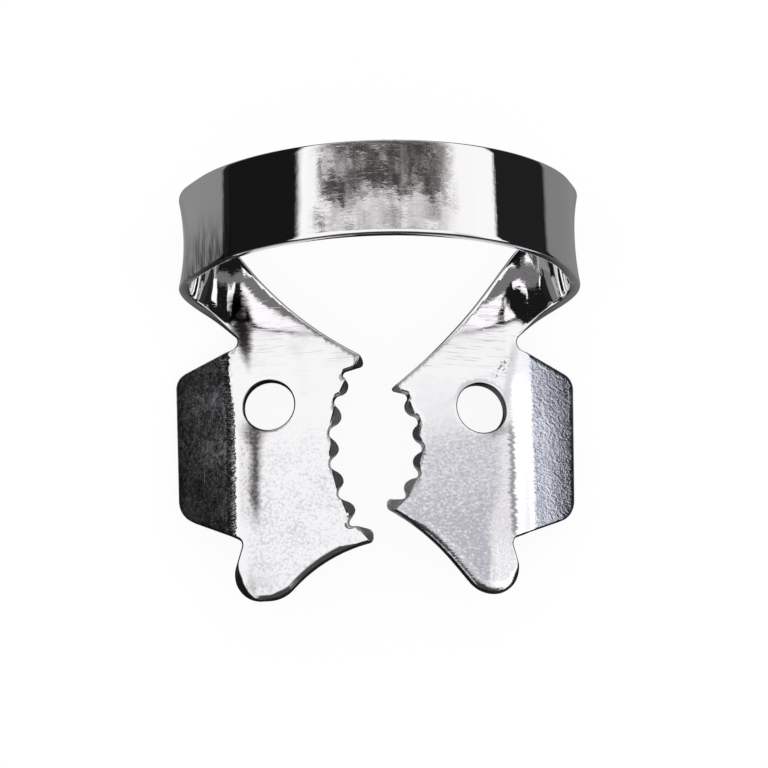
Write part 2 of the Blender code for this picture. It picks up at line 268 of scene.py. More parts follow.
def bevelDepth(points):
    # How deep the ground bevel lies under the upper face: distance past its edge / tan(bevel).
    leftDepth = pastBevel(points, leftPlate, -1) / tan(radians(leftPlate["bevel"]))
    rightDepth = pastBevel(points, rightPlate, 1) / tan(radians(rightPlate["bevel"]))
    return np.maximum(leftDepth, rightDepth)


def smooth(low, high, value):
    # 0 below low, 1 above high, and 3t^2 - 2t^3 between.
    t = np.clip((value - low) / (high - low), 0, 1)
    return t * t * (3 - 2 * t)


def frontShare(points):
    # 1 along the front edges of the plates and round the lobes, which are rounded more, and 0 elsewhere.
    detail = surfaceDetail
    y, inside = points[:, 1], np.abs(points[:, 0]) - crease
    alongFront = smooth(*detail["frontStarts"], y) * smooth(*detail["frontBeyond"], inside)
    return np.maximum(alongFront, smooth(*detail["lobeStarts"], y)) * smooth(*detail["prongEnds"], inside)


def bowProfile(s, n):
    # Point (x, z) at length s from the bow's middle: three arcs and a straight. Each arc turns the
    # heading by length / radius, and the point lies n outside it. z is 0 at the crease.
    size = clampSizes
    arcs = ((0.0, archEnd, size["archRadius"]), (archEnd, shoulderEnd, size["shoulderRadius"]),
            (shoulderEnd, crease, size["curlRadius"]))
    x, z = np.zeros_like(s), np.zeros_like(s)
    startX, startZ, heading = 0.0, 0.0, 0.0
    for start, end, radius in arcs:
        centreX, centreZ = startX - radius * sin(heading), startZ - radius * cos(heading)
        angle = heading + (s - start) / radius
        here = (s >= start) & (s <= end)
        x = np.where(here, centreX + (radius + n) * np.sin(angle), x)
        z = np.where(here, centreZ + (radius + n) * np.cos(angle), z)
        heading += (end - start) / radius
        startX, startZ = centreX + radius * sin(heading), centreZ + radius * cos(heading)
    beyond = s > crease
    x = np.where(beyond, startX + (s - crease) * cos(heading) + n * sin(heading), x)
    z = np.where(beyond, startZ - (s - crease) * sin(heading) + n * cos(heading), z)
    return x, z - startZ


def wingProfile(w, n):
    # Point (x, z) of a wing at width w from the crease: an arc of the wing's drop, then a straight.
    size = clampSizes
    rise, radius = radians(size["plateRise"]), size["wingBendRadius"]
    creaseX = bowProfile(np.array([crease]), np.array([0.0]))[0]
    bend = radius * radians(size["wingDrop"])
    slope = rise + np.minimum(w, bend) / radius
    flat = np.maximum(w - bend, 0)
    x = creaseX + radius * (np.sin(slope) - sin(rise)) + flat * np.cos(slope)
    z = radius * (np.cos(slope) - cos(rise)) - flat * np.sin(slope)
    return x - n * np.sin(slope), z - n * np.cos(slope)


def bendSheet(points):
    # Blank points (s, y, n) in millimetres brought to the resting clamp: the bow's profile or the
    # wing's, the flare of the strip's edges as cos^2 along and the square across, the bow's lean,
    # and then the tip about x that the clamp rests at.
    size = clampSizes
    s, y, n = np.abs(points[:, 0]), points[:, 1], points[:, 2]
    way = np.where(points[:, 0] < 0, -1.0, 1.0)
    nearSide = np.clip((s - shoulderEnd) / size["flareReach"], -1, 1)
    across = (y - size["stripFront"] - size["stripWidth"] / 2) / (size["stripWidth"] / 2)
    flare = size["edgeFlare"] * np.cos(pi / 2 * nearSide) ** 2 * across ** 2
    onWing = (s < crease) & (y < size["notch"][1])
    x, z = bowProfile(s, n + np.where(onWing, 0, flare))
    wingX, wingZ = wingProfile(np.maximum(crease - s, 0), n)
    x, z = np.where(onWing, wingX, x), np.where(onWing, wingZ, z)
    lean = np.where((s < crease) & ~onWing, size["bowLean"] * np.maximum(z, 0), 0)
    tip = radians(size["restTip"])
    return np.c_[way * x + lean, y * cos(tip) - z * sin(tip), y * sin(tip) + z * cos(tip)] * mm


def settleAtBevel(loop):
    # Slides the nearest outline point to each place where the bevel's upper edge crosses its ring.
    ring = loop + inward(loop) * surfaceDetail["edgeRound"]
    depth = bevelDepth(ring)
    after = np.roll(depth, -1)
    crossing = np.nonzero((depth > 0) != (after > 0))[0]
    share = depth[crossing] / (depth[crossing] - after[crossing])
    nearest = (crossing + (share > 0.5)) % len(loop)
    settled = loop.copy()
    follower = np.roll(loop, -1, axis=0)
    settled[nearest] = loop[crossing] * (1 - share)[:, None] + follower[crossing] * share[:, None]
    return settled


def edgeRings(loop):
    # Rings of the wall from the upper face to the lower one: two quarter ellipses and a straight.
    detail = surfaceDetail
    half, corner = clampSizes["sheet"] / 2, detail["edgeRound"]
    share, into = frontShare(loop), inward(loop)
    rings = []
    for k in range(detail["edgeSegments"] + 1):
        angle = pi / 2 * k / detail["edgeSegments"]
        inset = (corner + (detail["frontRound"] - corner) * share) * (1 - sin(angle))
        depth = (corner + (detail["frontRoundDepth"] - corner) * share) * (1 - cos(angle))
        rings.append((loop + into * inset[:, None], -half + depth))
    for k in range(detail["edgeSegments"] + 1):
        angle = pi / 2 * k / detail["edgeSegments"]
        height = np.full(len(loop), half - corner * (1 - sin(angle)))
        rings.append((loop + into * (corner * (1 - cos(angle))), height))
    return rings


def insideOf(points, loops):
    # Even-odd test of points against closed loops, by counting the edges crossed by a ray along +s.
    crossings = np.zeros(len(points), int)
    for loop in loops:
        x0, y0 = loop.T
        x1, y1 = np.roll(loop, -1, axis=0).T
        for start in range(0, len(points), surfaceDetail["pointsAtOnce"]):
            some = slice(start, start + surfaceDetail["pointsAtOnce"])
            x, y = points[some, None, 0], points[some, None, 1]
            spans = (y0 > y) != (y1 > y)
            at = x0 + (y - y0) * (x1 - x0) / np.where(y1 == y0, 1e-12, y1 - y0)
            crossings[some] += (spans & (x < at)).sum(axis=1)
    return crossings % 2 == 1


def nearestRing(points, rings):
    # Distance from each point to the nearest point of the rings.
    ring = np.vstack(rings)
    nearest = np.empty(len(points))
    for start in range(0, len(points), surfaceDetail["pointsAtOnce"]):
        some = slice(start, start + surfaceDetail["pointsAtOnce"])
        gap = points[some, None, :] - ring[None, :, :]
        nearest[some] = np.sqrt((gap ** 2).sum(axis=2).min(axis=1))
    return nearest


def fillFace(rings, spans):
    # Triangles between an outline and its holes, through a staggered grid of points, with the
    # bevel's edges kept. Gives the grid points and the triangles as indices into rings + grid.
    step = surfaceDetail["gridStep"]
    low, high = rings[0].min(axis=0), rings[0].max(axis=0)
    columns = np.arange(low[0], high[0], step)
    rows = np.arange(low[1], high[1], step * surfaceDetail["rowShare"])
    s, y = np.meshgrid(columns, rows)
    s = s + step / 2 * (np.arange(len(rows)) % 2)[:, None]
    grid = np.c_[s.ravel(), y.ravel()]
    grid = grid[insideOf(grid, rings)]
    share = np.linspace(0, 1, surfaceDetail["bevelSteps"])[:, None]
    bevelEdges = [rings[0][start] * (1 - share) + rings[0][end] * share for start, end in spans]
    grid = grid[nearestRing(grid, rings + bevelEdges) > surfaceDetail["clearance"] * step]
    edges = []
    offset = 0
    for ring in rings:
        index = offset + np.arange(len(ring))
        edges += np.c_[index, np.roll(index, -1)].tolist()
        offset += len(ring)
    allPoints = np.vstack(rings + [grid])
    edges += spans
    _, _, triangles, sources, _, _ = delaunay_2d_cdt(
        [Vector(point) for point in allPoints.tolist()], edges, [], 0, 1e-6)
    index = np.array([source[0] for source in sources])
    triangles = index[np.array([list(face) for face in triangles])]
    middles = allPoints[triangles].mean(axis=1)
    return grid, triangles[insideOf(middles, rings)]


def bevelSpans(ring):
    # Pairs of outline points that the upper edge of a bevel runs between.
    above = bevelDepth(ring) > 1e-6
    starts = np.nonzero(above & ~np.roll(above, 1))[0]
    ends = np.nonzero(above & ~np.roll(above, -1))[0]
    spans = []
    for start in starts:
        end = ends[np.argmin((ends - start) % len(ring))]
        if (end - start) % len(ring) > surfaceDetail["leastSpan"]:
            spans.append([int((start - 1) % len(ring)), int((end + 1) % len(ring))])
    return spans


def clampSurface():
    # The whole sheet as blank points (s, y, n) and faces: the walls, and both faces filled in.
    detail = surfaceDetail
    half = clampSizes["sheet"] / 2
    loops = [settleAtBevel(blankOutline()), holeOutline(leftPlate, -1), holeOutline(rightPlate, 1)]
    points, quads = [], []
    offset = 0
    upper, lower = [], []
    for loop in loops:
        rings = edgeRings(loop)
        count = len(loop)
        across = np.arange(count)
        for k, (ring, n) in enumerate(rings):
            points.append(np.c_[ring, n])
            if k:
                here, before = offset + k * count + across, offset + (k - 1) * count + across
                quads.append(np.c_[before, np.roll(before, -1), np.roll(here, -1), here])
        upper.append((offset + across, rings[0][0]))
        lower.append((offset + (len(rings) - 1) * count + across, rings[-1][0]))
        offset += len(rings) * count
    triangles = []
    for face, n, flip in ((upper, -half, True), (lower, half, False)):
        rings = [ring for _, ring in face]
        grid, faces = fillFace(rings, bevelSpans(rings[0]) if flip else [])
        index = np.r_[np.concatenate([i for i, _ in face]), offset + np.arange(len(grid))]
        faces = index[faces]
        triangles.append(faces[:, ::-1] if flip else faces)
        points.append(np.c_[grid, np.full(len(grid), n)])
        offset += len(grid)
    points = np.vstack(points)
    ground = -half + bevelDepth(points[:, :2])
    points[:, 2] = np.minimum(np.maximum(points[:, 2], ground), half)
    return points, quads, triangles


def pieceMesh(name, points, quads, triangles, attributes):
    # Mesh from point, quad and triangle arrays, with named point attributes and the faces smooth.
    mesh = bpy.data.meshes.new(name)
    corners = np.concatenate([np.vstack(quads).ravel(), np.vstack(triangles).ravel()])
    quadCount, triangleCount = len(np.vstack(quads)), len(np.vstack(triangles))
    sizes = np.r_[np.full(quadCount, 4), np.full(triangleCount, 3)]
    mesh.vertices.add(len(points))
    mesh.vertices.foreach_set("co", points.ravel())
    mesh.loops.add(len(corners))
    mesh.loops.foreach_set("vertex_index", corners)
    mesh.polygons.add(len(sizes))
    mesh.polygons.foreach_set("loop_start", np.r_[0, np.cumsum(sizes)[:-1]])
    mesh.update(calc_edges=True)
    mesh.validate()
    mesh.shade_smooth()
    mesh.set_sharp_from_angle(angle=radians(surfaceDetail["sharpAngle"]))
    for title, values in attributes.items():
        layer = mesh.attributes.new(title, "FLOAT_VECTOR", "POINT")
        layer.data.foreach_set("vector", values.ravel())
    piece = bpy.data.objects.new(name, mesh)
    bpy.context.collection.objects.link(piece)
    return piece


def outwardFaces(piece):
    # Turns every face outward, and reports whether the sheet is closed.
    work = bmesh.new()
    work.from_mesh(piece.data)
    bmesh.ops.recalc_face_normals(work, faces=work.faces)
    openEdges = sum(1 for edge in work.edges if len(edge.link_faces) != 2)
    work.to_mesh(piece.data)
    work.free()
    print("clamp surface:", len(piece.data.polygons), "faces,", openEdges, "open edges")


def finishMasks(points):
    # Per point: 1 in a ground bevel and 1 on a wing, with soft borders. The third value stays 0.
    detail = surfaceDetail
    y, inside = points[:, 1], np.abs(points[:, 0]) - crease
    ground = np.clip(bevelDepth(points[:, :2]) / detail["groundBlend"], 0, 1)
    wing = smooth(*detail["wingStarts"], inside) * smooth(*detail["wingEnds"], y)
    return np.c_[ground, wing, np.zeros(len(points))]


blankPoints, sideFaces, flatFaces = clampSurface()
bent = bendSheet(blankPoints)
low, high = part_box("clamp")
lowest, highest = bent.min(axis=0), bent.max(axis=0)
middleX, middleY = ((lowest + highest) / 2)[:2]
# Moved to the clamp's box: to its middle in x and y, and to its lowest point in z.
bent += np.array((low.x + high.x, low.y + high.y, 0)) / 2 - np.array((middleX, middleY, lowest[2] - low.z))
clampSteel = pieceMesh("clampSteel", bent, sideFaces, flatFaces,
                       {"blank": blankPoints, "finish": finishMasks(blankPoints)})
outwardFaces(clampSteel)


class Shade:
    # One output of a shader tree. Sums, products and absolute values of outputs become Math nodes.
    def __init__(self, tree, output=None):
        self.tree, self.output = tree, output

    def node(self, kind, settings, sockets):
        # A node of the kind given: its settings first, then a value or a link for each socket.
        made = self.tree.nodes.new(kind)
        for key, value in settings.items():
            setattr(made, key, value)
        for key, value in sockets.items():
            if isinstance(value, Shade):
                self.tree.links.new(value.output, made.inputs[key])
            else:
                made.inputs[key].default_value = value
        return made

    def pick(self, made, name=0):
        return Shade(self.tree, made.outputs[name])

    def math(self, operation, *values, clamp=False):
        return self.pick(self.node("ShaderNodeMath", {"operation": operation, "use_clamp": clamp},
                                   dict(enumerate(values))))

    def __add__(self, other):
        return self.math("ADD", self, other)

    def __sub__(self, other):
        return self.math("SUBTRACT", self, other)

    def __rsub__(self, other):
        return self.math("SUBTRACT", other, self)

    def __mul__(self, other):
        return self.math("MULTIPLY", self, other)

    def __truediv__(self, other):
        return self.math("DIVIDE", self, other)

    def __abs__(self):
        return self.math("ABSOLUTE", self)

    __radd__, __rmul__ = __add__, __mul__

    def ramp(self, low, high):
        # 0 below low, 1 above high, and a smooth step between, also where low is the greater.
        return self.pick(self.node("ShaderNodeMapRange", {"interpolation_type": "SMOOTHSTEP"},
                                   {"Value": self, "From Min": low, "From Max": high}))

    def split(self, vector):
        made = self.node("ShaderNodeSeparateXYZ", {}, {"Vector": vector})
        return [self.pick(made, axis) for axis in range(3)]

    def join(self, x, y, z):
        return self.pick(self.node("ShaderNodeCombineXYZ", {}, {"X": x, "Y": y, "Z": z}))

    def noise(self, vector, scale, detail=3.0, roughness=0.5, distortion=0.0):
        return self.pick(self.node("ShaderNodeTexNoise", {}, {
            "Vector": vector, "Scale": scale, "Detail": detail, "Roughness": roughness,
            "Distortion": distortion}))

    def blend(self, factor, first, second):
        # Colour mix: first where the factor is 0 and second where it is 1.
        # Among the Mix node's sockets, 6, 7 and output 2 are the ones for colours.
        made = self.node("ShaderNodeMix", {"data_type": "RGBA"}, {"Factor": factor, 6: first, 7: second})
        return self.pick(made, 2)


def newMaterial(name):
    material = bpy.data.materials.new(name)
    material.use_nodes = True
    material.node_tree.nodes.clear()
    return material, Shade(material.node_tree)


steelFinish = {
    # Colours of the steel, its stains and ground bevels, and of painted shade, painted highlights and painted
    # reflections.
    "colour": (0.66, 0.65, 0.66, 1),
    "dullAndShadeColour": (0.385, 0.38, 0.42, 1),
    "stainAndShadeColour": (0.075, 0.068, 0.066, 1),
    "leftNeckShadeColour": (0.012, 0.011, 0.011, 1),
    "groundColour": (0.30, 0.295, 0.30, 1),
    "wingColour": (0.62, 0.64, 0.74, 1),
    "wingShadeDark": (0.10, 0.10, 0.115, 1),
    "wingGlintLight": (0.97, 0.97, 1.0, 1),
    "foldHighlightColour": (0.97, 0.97, 0.99, 1),
    "polish": 0.06,
    "hazePatches": 0.06,
    "scratchRoughness": 0.05,
    "dullRoughness": 0.10,
    "wingRoughness": 0.03,
    "weaveRoughness": 0.09,
    "groundRoughness": 0.30,
    "peelHeight": 1.3,  # heights in micrometres
    "waveHeight": 14.0,
    "grainHeight": 5.5,
    "wrinkleHeight": 3.0,
    "scratchHeight": 0.6,
    "rollHeight": 42.0,
    "foldSlope": 215.0,
    "foldWidth": 0.42,
    "borderDrop": 9.0,
    # Shares of the dull metal and painted shade, and of the stains and painted shade, by mark.
    "dullAndShade": {"bandFlecks": 0.8, "speckle": 0.62, "lavender": 0.05, "grooveShade": 0.6, "highGrooveShade": 0.5,
             "scratches": 0.4},
    "stainAndShade": {"leftStreakShade": 0.95, "besideFoldShade": 0.5, "grooveShade": 0.5, "leftLobeDarkPatch": 0.4, "marks": 0.8,
              "holeWallShade": 0.85, "holeShade": 0.7},
}


def polishedSteel():
    # Plated and polished steel: long waves, orange peel, grain on the wings, wrinkles on the right
    # lobe, fine scratches across the necks, painted shade in streaks beside the creases, and ground
    # bevels. Its colour also holds painted shade, painted highlights and painted reflections on the
    # plates, wings, walls and the bow's left end. Places are in millimetres: inside counts from the
    # crease toward the jaw, and y from front to back.
    material, g = newMaterial("polishedSteel")
    look, dullAndShadeShare, stainAndShadeShare = steelFinish, steelFinish["dullAndShade"], steelFinish["stainAndShade"]
    blank = g.pick(g.node("ShaderNodeAttribute", {"attribute_name": "blank"}, {}), "Vector")
    finish = g.pick(g.node("ShaderNodeAttribute", {"attribute_name": "finish"}, {}), "Vector")
    s, y, n = g.split(blank)
    ground, wing, _ = g.split(finish)
    inside = abs(s) - crease
    rightSide = s.ramp(-1.0, 1.0)
    leftSide = 1 - rightSide
    onPlate = inside.ramp(-0.05, 0.25)
    upper, outer = n.ramp(0.22, 0.08), n.ramp(0.10, 0.22)  # the plates' upper face, the bow's outer one

    # Relief: noise is drawn out along y for grain from tumbling and along s for scratches.
    peel = g.noise(blank, 2.6, 2.0, 0.5)
    waves = g.noise(blank, 0.42, 1.5, 0.4)
    grain = g.noise(g.join(s * 5.6, y * 8.4, n * 5.0), 1.0, 2.5, 0.62)
    bristle = g.noise(g.join(s * 1.4, y * 7.0, n), 1.0, 3.0, 0.6) - 0.5
    wrinkle = g.noise(blank, 3.1, 3.0, 0.6, 0.8)
    scratches = g.noise(g.join(s * 0.5, y * 13.0, n * 3.0), 1.0, 2.0, 0.55).ramp(0.58, 0.70)
    rubbed = g.noise(g.join(s * 11.0, y * 0.6, n * 3.0), 1.0, 2.0, 0.55).ramp(0.60, 0.72)
    neck = y.ramp(-0.4, 1.2) * y.ramp(4.6, 2.4) * onPlate
    lowLobe = y.ramp(-5.5, -8.0) * onPlate * rightSide * inside.ramp(0.8, 1.9)
    rightPlateTone = onPlate * rightSide * (y + inside * 0.25).ramp(-0.4, -3.2)
    outward = g.math("MAXIMUM", -1.0 * inside - 1.1, 0.0)
    foldDrop = g.math("MAXIMUM", y.ramp(0.5, -2.0) * 0.22 - 0.19 + bristle * 0.3 - inside, 0.0)
    foldDrop = g.math("MINIMUM", foldDrop, look["foldWidth"])
    grainShare = 0.10 + wing * (0.25 + rightSide * 0.95) + rightPlateTone * 2.8 + ground * 0.2
    height = (waves * look["waveHeight"] + peel * look["peelHeight"]
              + grain * look["grainHeight"] * grainShare
              + wrinkle * look["wrinkleHeight"] * lowLobe
              - scratches * look["scratchHeight"] * (0.25 + neck * (0.4 + rightSide * 1.6))
              - rubbed * look["scratchHeight"] * (0.35 + wing)
              - inside.ramp(0.9, -0.1) * look["rollHeight"]
              - foldDrop * leftSide * y.ramp(2.0, 1.2) * look["foldSlope"]
              - outward * outward * wing * look["borderDrop"])
    bump = g.pick(g.node("ShaderNodeBump", {}, {"Strength": 1.0, "Distance": 1e-6, "Height": height}))

    fleck = g.noise(blank, 6.5, 3.0, 0.7)
    soft = g.noise(blank, 0.7, 3.0, 0.6)
    mottle = g.noise(g.join(s * 2.6, y * 1.3, n), 1.0, 5.0, 0.72)
    wander = g.noise(g.join(s * 0.2, y * 0.45, n), 1.0, 2.0, 0.5) * 0.6 - 0.3
    cloth = g.noise(g.join(s * 6.5, y * 4.6, n), 1.0, 4.0, 0.7)
    brushed = g.noise(g.join(s * 6.0, y * 0.6, n), 1.0, 2.0, 0.6)

    # Dull metal and painted shade: painted speckle low on the left plate, painted grey shade with
    # flecks and a line over the right plate, painted shade in grooves and flecks along the right
    # crease, and real scratches across the right neck.
    # Painted grey speckle low on the left plate, standing in for the reflections of its relief.
    speckle = ((fleck + soft * 0.30 - inside * 0.012).ramp(0.56, 0.80)
               * onPlate * y.ramp(-1.2, -5.0) * leftSide * inside.ramp(0.3, 0.9))
    lavender = onPlate * leftSide * y.ramp(-1.0, -6.5) * dullAndShadeShare["lavender"]
    lower = y.ramp(-5.0, -8.0)
    shortLine = abs(inside - 1.94).ramp(0.08, 0.03) * y.ramp(-9.4, -9.7) * y.ramp(-10.6, -10.3) * rightSide
    # Painted grey shade over the right plate, flecked, standing in for the grey that it reflects.
    rightPlateShade = (rightPlateTone * (0.02 + (inside - lower * 0.65).ramp(0.95, 1.7) * (0.55 + lower * 0.38))
                 * (1 + (fleck - 0.5) * 2.6 + (grain - 0.5) * 3.6) * (inside + bristle * 0.3).ramp(0.54, 0.68)
                 * (1 - shortLine))
    # Painted dark line of shade along the groove beside the right crease.
    grooveShade = (abs(inside - 0.68 + bristle * 0.7 + wander * 0.2).ramp(0.24, 0.02)
              * y.ramp(-1.9, -3.0) * y.ramp(-8.4, -7.6) * rightSide)
    # Painted grey band of shade beside the right crease, between the neck and the hole.
    highGrooveShade = (abs(inside - 0.71 + y * 0.2).ramp(0.38, 0.05)
                  * y.ramp(-2.0, -0.6) * y.ramp(2.4, 1.7) * rightSide)
    bandFlecks = ((grain * 0.6 + fleck * 0.5).ramp(0.54, 0.66)
                  * inside.ramp(0.0, -0.5) * inside.ramp(-1.3, -0.9) * rightSide)
    dullAndShade = g.math("MAXIMUM", (bandFlecks * dullAndShadeShare["bandFlecks"] + speckle * dullAndShadeShare["speckle"]
                              + lavender + rightPlateShade + grooveShade * dullAndShadeShare["grooveShade"]
                              + highGrooveShade * dullAndShadeShare["highGrooveShade"]
                              + scratches * neck * rightSide * dullAndShadeShare["scratches"]) * upper, 0.0)
    dullAndShade = g.math("MINIMUM", dullAndShade, 1.0)

    # Stains and painted shade: painted shade in streaks below and above the left hole, in specks
    # beside the left crease, on the bow's left end, along the right groove, beside the right hole and
    # on the sheared walls of the necks and holes; a mottled darker patch low on the left lobe, and
    # marks beside the right hole.
    # Painted shade in streaks beside the left crease, below the left hole and above it up the neck.
    streakWidth = y.ramp(-3.8, -2.3) * 0.45 + 0.36
    leftStreakShade = ((abs(inside - 1.02 + wander) / streakWidth + bristle * 0.5).ramp(1.2, 0.0)
                  * y.ramp(-1.7, -2.5) * y.ramp(-8.0, -6.0) * leftSide)
    highWidth = y.ramp(0.0, 3.4) * 0.34 + 0.12
    highStreakShade = ((abs(inside - 0.84 + y * 0.15) / highWidth + bristle * 1.6).ramp(1.7, 0.1)
                  * y.ramp(0.1, 2.0) * y.ramp(4.8, 3.9) * leftSide)
    # Painted shade in specks beside the left crease.
    besideFoldShade = (abs(inside - 0.5).ramp(0.38, 0.16) * y.ramp(-2.4, -3.4) * y.ramp(-7.8, -6.6) * leftSide
                  * (0.2 + fleck.ramp(0.48, 0.68) * 0.7))
    # Mottled darker patch low on the left lobe.
    leftLobeDarkPatch = y.ramp(-9.3, -10.9) * inside.ramp(2.4, 0.6) * mottle.ramp(0.36, 0.62) * leftSide
    marks = (abs(inside - 1.45 + y * 0.56).ramp(0.45, 0.1) * abs(y - 0.7).ramp(0.9, 0.3)
             * (fleck + bristle * 0.3).ramp(0.50, 0.62) * rightSide)
    # Painted shade, streaked along y, over the outer face of the bow's left end.
    bowEndShade = (abs(s).ramp(8.2, 9.6) * abs(s).ramp(13.8, 12.6) * y.ramp(7.6, 4.7) * leftSide * outer
              * (0.15 + brushed.ramp(0.35, 0.65) * 0.75))
    stainAndShade = ((leftStreakShade * stainAndShadeShare["leftStreakShade"] + highStreakShade) * (0.2 + fleck + mottle * 0.7)
             + besideFoldShade * stainAndShadeShare["besideFoldShade"] + grooveShade * stainAndShadeShare["grooveShade"]
             + leftLobeDarkPatch * stainAndShadeShare["leftLobeDarkPatch"] + marks * stainAndShadeShare["marks"]) * upper + bowEndShade
    # Painted shade on the upper part of the sheared walls of the necks.
    edge = n.ramp(-0.272, -0.245) * upper * y.ramp(0.6, 1.6) * onPlate
    (leftAside, leftUp), (rightAside, rightUp) = leftPlate["hole"], rightPlate["hole"]
    holeAside = inside - leftAside - rightSide * (rightAside - leftAside)
    holeUp = y - leftUp - rightSide * (rightUp - leftUp)
    # Painted shade on the sheared walls of both holes.
    holeWallShade = (holeAside * holeAside + holeUp * holeUp).ramp(1.85, 1.70)
    # Painted shade beside the right hole, toward the crease and the front.
    holeShade = (abs(inside - 1.35).ramp(1.3, 0.0) * abs(y + 2.2 + inside * 0.28).ramp(0.55, 0.0)
                  * (0.2 + mottle + bristle) * rightSide * upper)
    stainAndShade = g.math("MINIMUM", stainAndShade + edge + holeWallShade * stainAndShadeShare["holeWallShade"]
                   + holeShade * stainAndShadeShare["holeShade"], 1.0)

    # Colour: a painted dark reflection with painted glints on the left wing and plain lavender on the
    # right one, painted highlights along the right crease and lobe, then the dull metal and painted
    # shade, the stains and painted shade, near-black painted shade on the left neck, and the ground
    # bevels, darker on the back prong.
    # Painted highlights along the right crease and over the right lobe.
    foldHighlight = ((inside + bristle * 0.5).ramp(-0.55, -0.2) * (inside + bristle * 0.5).ramp(0.66, 0.5)
                * y.ramp(0.8, -0.6))
    lobeHighlight = (inside + bristle * 0.4).ramp(2.1, 1.6) * y.ramp(-7.6, -9.2) * 0.3
    bright = g.math("MAXIMUM", foldHighlight * y.ramp(-8.8, -8.2), lobeHighlight * onPlate) * rightSide
    # Painted dark reflection on the left wing, mottled with painted glints that grow toward the back.
    leftWingShadeMottle = (cloth * 1.1 + mottle * 0.7 - 0.4).ramp(0.26, 0.76) * (0.4 + y.ramp(-7.5, -2.5) * 0.6)
    backProng = y.ramp(-1.2, -0.4)
    wingTone = g.blend(leftWingShadeMottle, look["wingShadeDark"], look["wingGlintLight"])
    wingTone = g.blend(rightSide, wingTone, look["wingColour"])
    colour = g.blend(wing, look["colour"], wingTone)
    colour = g.blend(bright * upper, colour, look["foldHighlightColour"])
    colour = g.blend(dullAndShade, colour, look["dullAndShadeColour"])
    colour = g.blend(stainAndShade, colour, look["stainAndShadeColour"])
    # Near-black painted shade over the upper part of the streak on the left neck.
    colour = g.blend(highStreakShade * y.ramp(0.6, 2.6) * upper, colour, look["leftNeckShadeColour"])
    groundTone = g.blend(backProng, look["groundColour"], look["stainAndShadeColour"])
    colour = g.blend(ground * (0.8 + backProng * 0.2), colour, groundTone)

    haze = soft.ramp(0.46, 0.68)
    plain = y.ramp(4.2, 2.6) * 0.85 + 0.15  # the curls and the bow are polished best
    roughness = ((look["polish"] + haze * look["hazePatches"]) * plain
                 + scratches * look["scratchRoughness"] + dullAndShade * look["dullRoughness"]
                 + wing * (look["wingRoughness"] + leftSide * look["weaveRoughness"]))
    roughness = roughness * (1 - ground) + ground * look["groundRoughness"]
    surface = g.node("ShaderNodeBsdfPrincipled", {}, {
        "Base Color": colour, "Metallic": 1.0, "Roughness": roughness, "Normal": bump})
    g.node("ShaderNodeOutputMaterial", {}, {"Surface": g.pick(surface)})
    return material


clampSteel.data.materials.append(polishedSteel())
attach(clampSteel, "root")
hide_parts("clamp")
print("steel finished")

studio = {
    "floorReach": 0.6,
    "floorWhite": 0.91,
    "floorPaper": 0.8,
    "floorShade": 0.10,
    "sheetInSteel": 0.34,
    "rightSheetLoss": 0.16,
    "underBow": 0.9,
    "gapInSteel": 0.40,
    "darkInSteel": 0.02,
    "leftCard": 0.060,
    "leftCardReach": 0.4,
    "leftCardHeight": 0.056,
    "leftCardFade": 0.0475,
    "leftCardBlack": 0.012,
    "leftCardFibres": (1600.0, 120.0),
    "leftCardUneven": 0.006,
    "ceilingHeight": 0.060,
    "ceilingSpan": ((-0.06, 0.012), (0.07, 0.075)),
    "overhead": 1.42,
    "greyLevel": 0.95,
    "curlAside": 0.0003,
    "curlOutline": ((0.0034, 0.0035), (0.0135, 0.0035), (0.0135, 0.0102), (0.008, 0.0102)),
    "curlWhite": 2.3,
    "curlGrey": 0.36,
    "horizon": 0.415,
    "horizonTilt": 0.06,
    "aheadDark": 0.95,
}


def plane(name, corners, material):
    # One flat quad through four corners.
    mesh = bpy.data.meshes.new(name)
    mesh.from_pydata([Vector(corner) for corner in corners], [], [(0, 1, 2, 3)])
    mesh.materials.append(material)
    made = bpy.data.objects.new(name, mesh)
    bpy.context.collection.objects.link(made)
    return made


def onlyInSteel(card):
    # A card beside or above the clamp that only its reflections show.
    card.visible_camera = card.visible_diffuse = card.visible_shadow = False
    return card


def glowOnly(g, colour):
    # Ends a material as plain light of the colour given.
    surface = g.node("ShaderNodeEmission", {}, {"Color": colour, "Strength": 1.0})
    g.node("ShaderNodeOutputMaterial", {}, {"Surface": g.pick(surface)})


floorPlaces = {  # in metres, each as the ends of a soft step
    "sideFrom": (0.008, 0.012),
    "leftEnd": (-0.044, -0.034),
    "rightEnd": (0.037, 0.029),
    "sideFront": (-0.006, 0.0),
    "leftToRight": (-0.01, 0.01),
    "underBowEnds": (0.011, 0.008),
    "underBowFront": (0.0025, 0.0045),
    "gapLeft": (-0.0045, -0.0025),
    "gapLeftBack": (-0.0015, -0.003),
    "gapRight": (0.0015, 0.005),
    "gapRightFront": (-0.0025, -0.0015),
    "gapRightEnd": (0.0056, 0.0042),
    "gapBack": (0.0018, 0.001),
    "gapFront": (-0.0105, -0.009),
}


